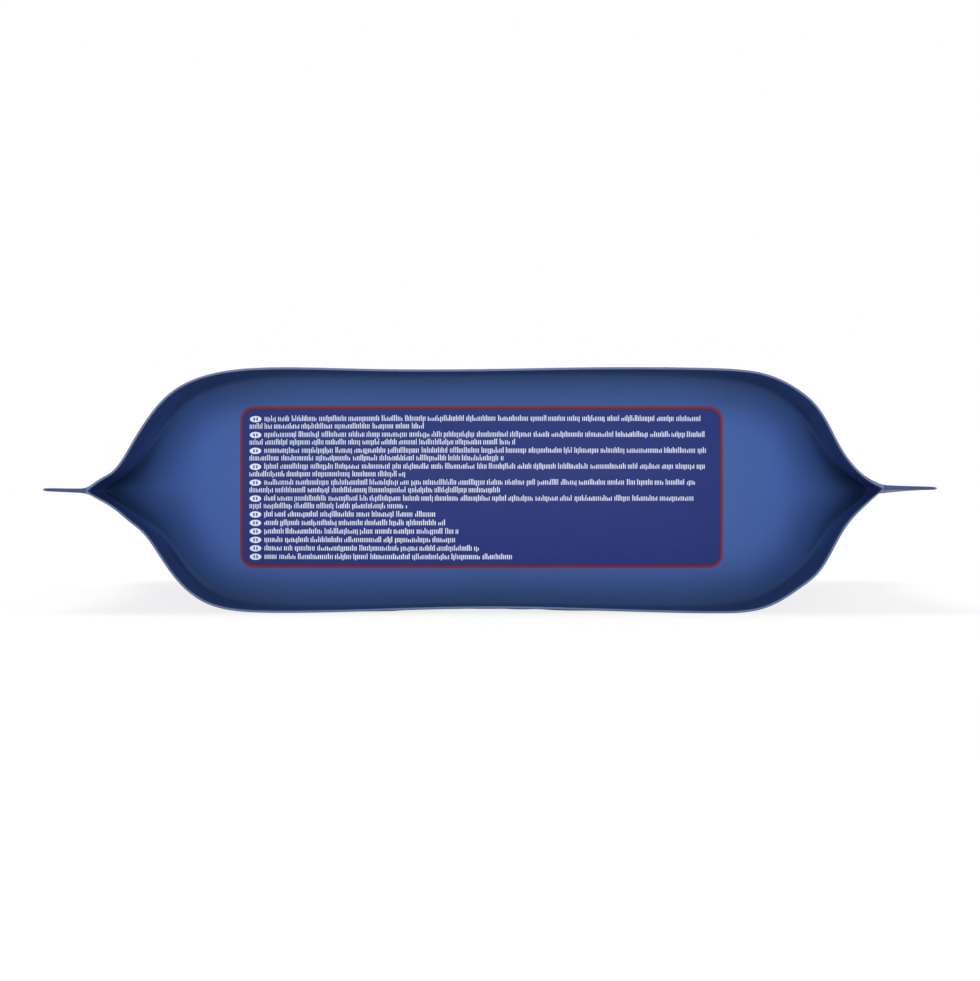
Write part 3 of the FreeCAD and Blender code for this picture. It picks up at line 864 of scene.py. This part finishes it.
ink_dark = ink_material("ink_dark", 0.38, (0.005, 0.016, 0.125, 1), (0.008, 0.020, 0.136, 1))
ink_red = ink_material("ink_red", 0.38, (0.112, 0.012, 0.034, 1), (0.135, 0.016, 0.043, 1))
ink_shade = ink_material("ink_shade", 0.38, (0.050, 0.005, 0.026, 1), (0.062, 0.007, 0.032, 1))
ink_white = ink_material("ink_white", 0.45, (0.55, 0.60, 0.74, 1), (0.66, 0.70, 0.82, 1))
for material in (ink_dark, ink_red, ink_shade):
    field.data.materials.append(material)
lay_on_base(field, FIELD_LIFT)

# Paragraphs of two rows or one, by the length of each row in millimetres. An oval with two dark strokes
# stands at the head of each. The widths and gaps of the strokes are in millimetres too.
PARAGRAPHS = ((128.8, 50.1), (130.2, 76), (130.8, 73), (130, 44.6), (127.5, 71.5), (126.7, 45.4))
PARAGRAPHS += ((53.4,), (56.4,), (59.9,), (59,), (66,), (75.3,))
LEFT_MARGIN = 2.8 * MM
TOP_MARGIN = 3.7 * MM
TEXT_LEFT = PRINT_X - PRINT_WIDTH / 2 + LEFT_MARGIN
TEXT_TOP = PRINT_Z + PRINT_HEIGHT / 2 - TOP_MARGIN
ROW_LEADING = 2.17 * MM
PARAGRAPH_LEADING = 2.37 * MM
SINGLE_LEADING = 2.42 * MM
MARK_HEIGHT = 1.2 * MM
TALLER = 0.42 * MM
TALLER_TO = 0.22
SHORTER = 0.35 * MM
SHORTER_SPAN = (0.40, 0.52)
DEEPER = 0.32 * MM
DEEPER_FROM = 0.93
STROKE = (0.20, 0.27)
STROKE_GAP = (0.22, 0.32)
WORD_GAP = (0.35, 0.6)
WORD_STROKES = (5, 22)
BOLD = 1.15
OVAL = (3.4 * MM, 1.8 * MM)
OVAL_CORNERS = 24
OVAL_SPACE = 4.3 * MM
CODE = (0.42 * MM, 0.85 * MM)
ROW_LIFT = 0.09 * MM
CODE_LIFT = 0.13 * MM


def rectangle(x, z, width, height):
    """The outline of an upright stroke about its middle."""
    low, high = z - height / 2, z + height / 2
    return [(x - width / 2, low), (x + width / 2, low), (x + width / 2, high), (x - width / 2, high)]


def word_marks(start, stop, middle, bold, rng):
    """Small upright strokes in groups like words, between two places on a row."""
    strokes = []
    x = start
    while x < stop:
        for _ in range(rng.integers(*WORD_STROKES)):
            width = rng.uniform(*STROKE) * MM * bold
            low, high = middle - MARK_HEIGHT / 2, middle + MARK_HEIGHT / 2
            kind = rng.random()
            high += TALLER * (kind < TALLER_TO)
            low -= DEEPER * (kind > DEEPER_FROM)
            high -= SHORTER * (SHORTER_SPAN[0] < kind < SHORTER_SPAN[1])
            if x + width > stop:
                break
            strokes.append([(x, low), (x + width, low), (x + width, high), (x, high)])
            x += width + rng.uniform(*STROKE_GAP) * MM
        x += rng.uniform(*WORD_GAP) * MM
    return strokes


rng = np.random.default_rng(11)
shapes, codes = [], []
turns = np.linspace(0, 2 * math.pi, OVAL_CORNERS, endpoint=False)
oval_x = TEXT_LEFT + OVAL[0] / 2
middle = TEXT_TOP
for lengths in PARAGRAPHS:
    shapes.append([(oval_x + OVAL[0] / 2 * math.cos(t), middle + OVAL[1] / 2 * math.sin(t)) for t in turns])
    codes += [rectangle(x, middle, *CODE) for x in (oval_x - CODE[0], oval_x + CODE[0])]
    bold = BOLD if len(lengths) == 1 else 1.0
    for row, length in enumerate(lengths):
        begin = TEXT_LEFT + (OVAL_SPACE if row == 0 else 0)
        shapes += word_marks(begin, TEXT_LEFT + length * MM, middle, bold, rng)
        middle -= ROW_LEADING
    middle += ROW_LEADING - (PARAGRAPH_LEADING if len(lengths) == 2 else SINGLE_LEADING)


def print_shapes(name, outlines, ink, lift):
    """Prints flat outlines on the gusset in one ink."""
    mesh = bpy.data.meshes.new(name)
    corners = [(x, BASE_Y, z) for outline in outlines for x, z in outline]
    counts = np.cumsum([0] + [len(outline) for outline in outlines])
    mesh.from_pydata(corners, [], [list(range(a, b)) for a, b in zip(counts[:-1], counts[1:])])
    piece = bpy.data.objects.new(name, mesh)
    bpy.context.scene.collection.objects.link(piece)
    piece.data.materials.append(ink)
    lay_on_base(piece, lift)


print_shapes("print_rows", shapes, ink_white, ROW_LIFT)
print_shapes("print_codes", codes, ink_dark, CODE_LIFT)


# The stage: a camera that looks straight at the base, a pale floor and plain light all round. The floor
# shows white to the camera far away, and near the pouch it keeps a part of the pouch's shadow.
CAMERA_DISTANCE = 0.80
FRAME_WIDTH = 0.27695
SENSOR = 36.0
EYE_Z = 34.7 * MM

camera = bpy.data.objects.new("camera", bpy.data.cameras.new("camera"))
camera.data.sensor_width = SENSOR
camera.data.lens = SENSOR * CAMERA_DISTANCE / FRAME_WIDTH
camera.data.clip_start = 0.01
camera.location = (0, BASE_Y - CAMERA_DISTANCE, EYE_Z)
camera.rotation_euler = (math.pi / 2, 0, 0)
bpy.context.scene.collection.objects.link(camera)
bpy.context.scene.camera = camera

WORLD_LIGHT = 0.26
FLOOR_SIZE = 8
FLOOR_PAINT = (0.85, 0.85, 0.85, 1)
FLOOR_WHITE = 1.1
FLOOR_GLOW = 0.75
FLOOR_GLOSS = 0.2
NEAR_FLOOR = 0.5
FAR_FLOOR = 1.5


def seen_rays(start):
    """Rays that come from the camera, and rays that come from it by way of a gloss or a glass."""
    camera_ray = start.node("ShaderNodeLightPath", output="Is Camera Ray")
    glossy_ray = start.node("ShaderNodeLightPath", output="Is Glossy Ray")
    glass_ray = start.node("ShaderNodeLightPath", output="Is Transmission Ray")
    return camera_ray, start.math("MAXIMUM", glossy_ray, glass_ray)


bpy.ops.object.select_all(action="DESELECT")
bpy.ops.mesh.primitive_plane_add(size=FLOOR_SIZE, location=(0, 0, 0))
floor = bpy.context.object
floor.name = "floor"
floor_white = bpy.data.materials.new("floor_white")
floor_white.use_nodes = True
floor_white.node_tree.nodes.clear()
start = Socket(floor_white.node_tree)
in_camera, in_gloss = seen_rays(start)
paint = start.node("ShaderNodeBsdfDiffuse", None, {"Color": FLOOR_PAINT})
glow = start.node("ShaderNodeEmission", None, {"Strength": FLOOR_WHITE})
place = start.node("ShaderNodeTexCoord", output="Object")
distance = start.node("ShaderNodeVectorMath", {"operation": "LENGTH"}, {0: place}, "Value")
far_away = smooth_range(start, distance, NEAR_FLOOR, FAR_FLOOR)
camera_share = in_camera * (FLOOR_GLOW + (1 - FLOOR_GLOW) * far_away)
gloss_share = in_gloss * (FLOOR_GLOSS + (1 - FLOOR_GLOSS) * far_away)
glow_share = start.math("MAXIMUM", camera_share, gloss_share)
shown = start.node("ShaderNodeMixShader", None, {0: glow_share, 1: paint, 2: glow})
output = floor_white.node_tree.nodes.new("ShaderNodeOutputMaterial")
floor_white.node_tree.links.new(shown.socket, output.inputs["Surface"])
floor.data.materials.append(floor_white)

world = bpy.data.worlds.new("studio")
bpy.context.scene.world = world
world.use_nodes = True
start = Socket(world.node_tree)
background = world.node_tree.nodes["Background"]
background.inputs["Color"].default_value = (1, 1, 1, 1)
seen = start.math("MAXIMUM", *seen_rays(start))
start.feed(background.inputs["Strength"], WORLD_LIGHT + (1 - WORLD_LIGHT) * seen)


def softbox(name, place, aim, width, depth, power):
    """A rectangular lamp at a place, turned to a point."""
    lamp = bpy.data.objects.new(name, bpy.data.lights.new(name, "AREA"))
    lamp.data.shape = "RECTANGLE"
    lamp.data.size = width
    lamp.data.size_y = depth
    lamp.data.energy = power
    lamp.location = place
    lamp.rotation_euler = (Vector(aim) - Vector(place)).to_track_quat("-Z", "Y").to_euler()
    bpy.context.scene.collection.objects.link(lamp)
    return lamp


front_lamp = softbox("front_lamp", (0.02, -1.5, 0.14), (0, BASE_Y, 0.03), width=0.7, depth=0.5, power=20)
front_lamp.visible_glossy = False
softbox("top_lamp", (-0.5, 0.2, 1.5), (0, 0, 0.03), width=0.9, depth=0.9, power=14)
softbox("back_lamp", (0.7, 1.4, 0.7), (0, 0, 0.03), width=0.8, depth=0.8, power=11)

bpy.context.scene.view_settings.view_transform = "Standard"
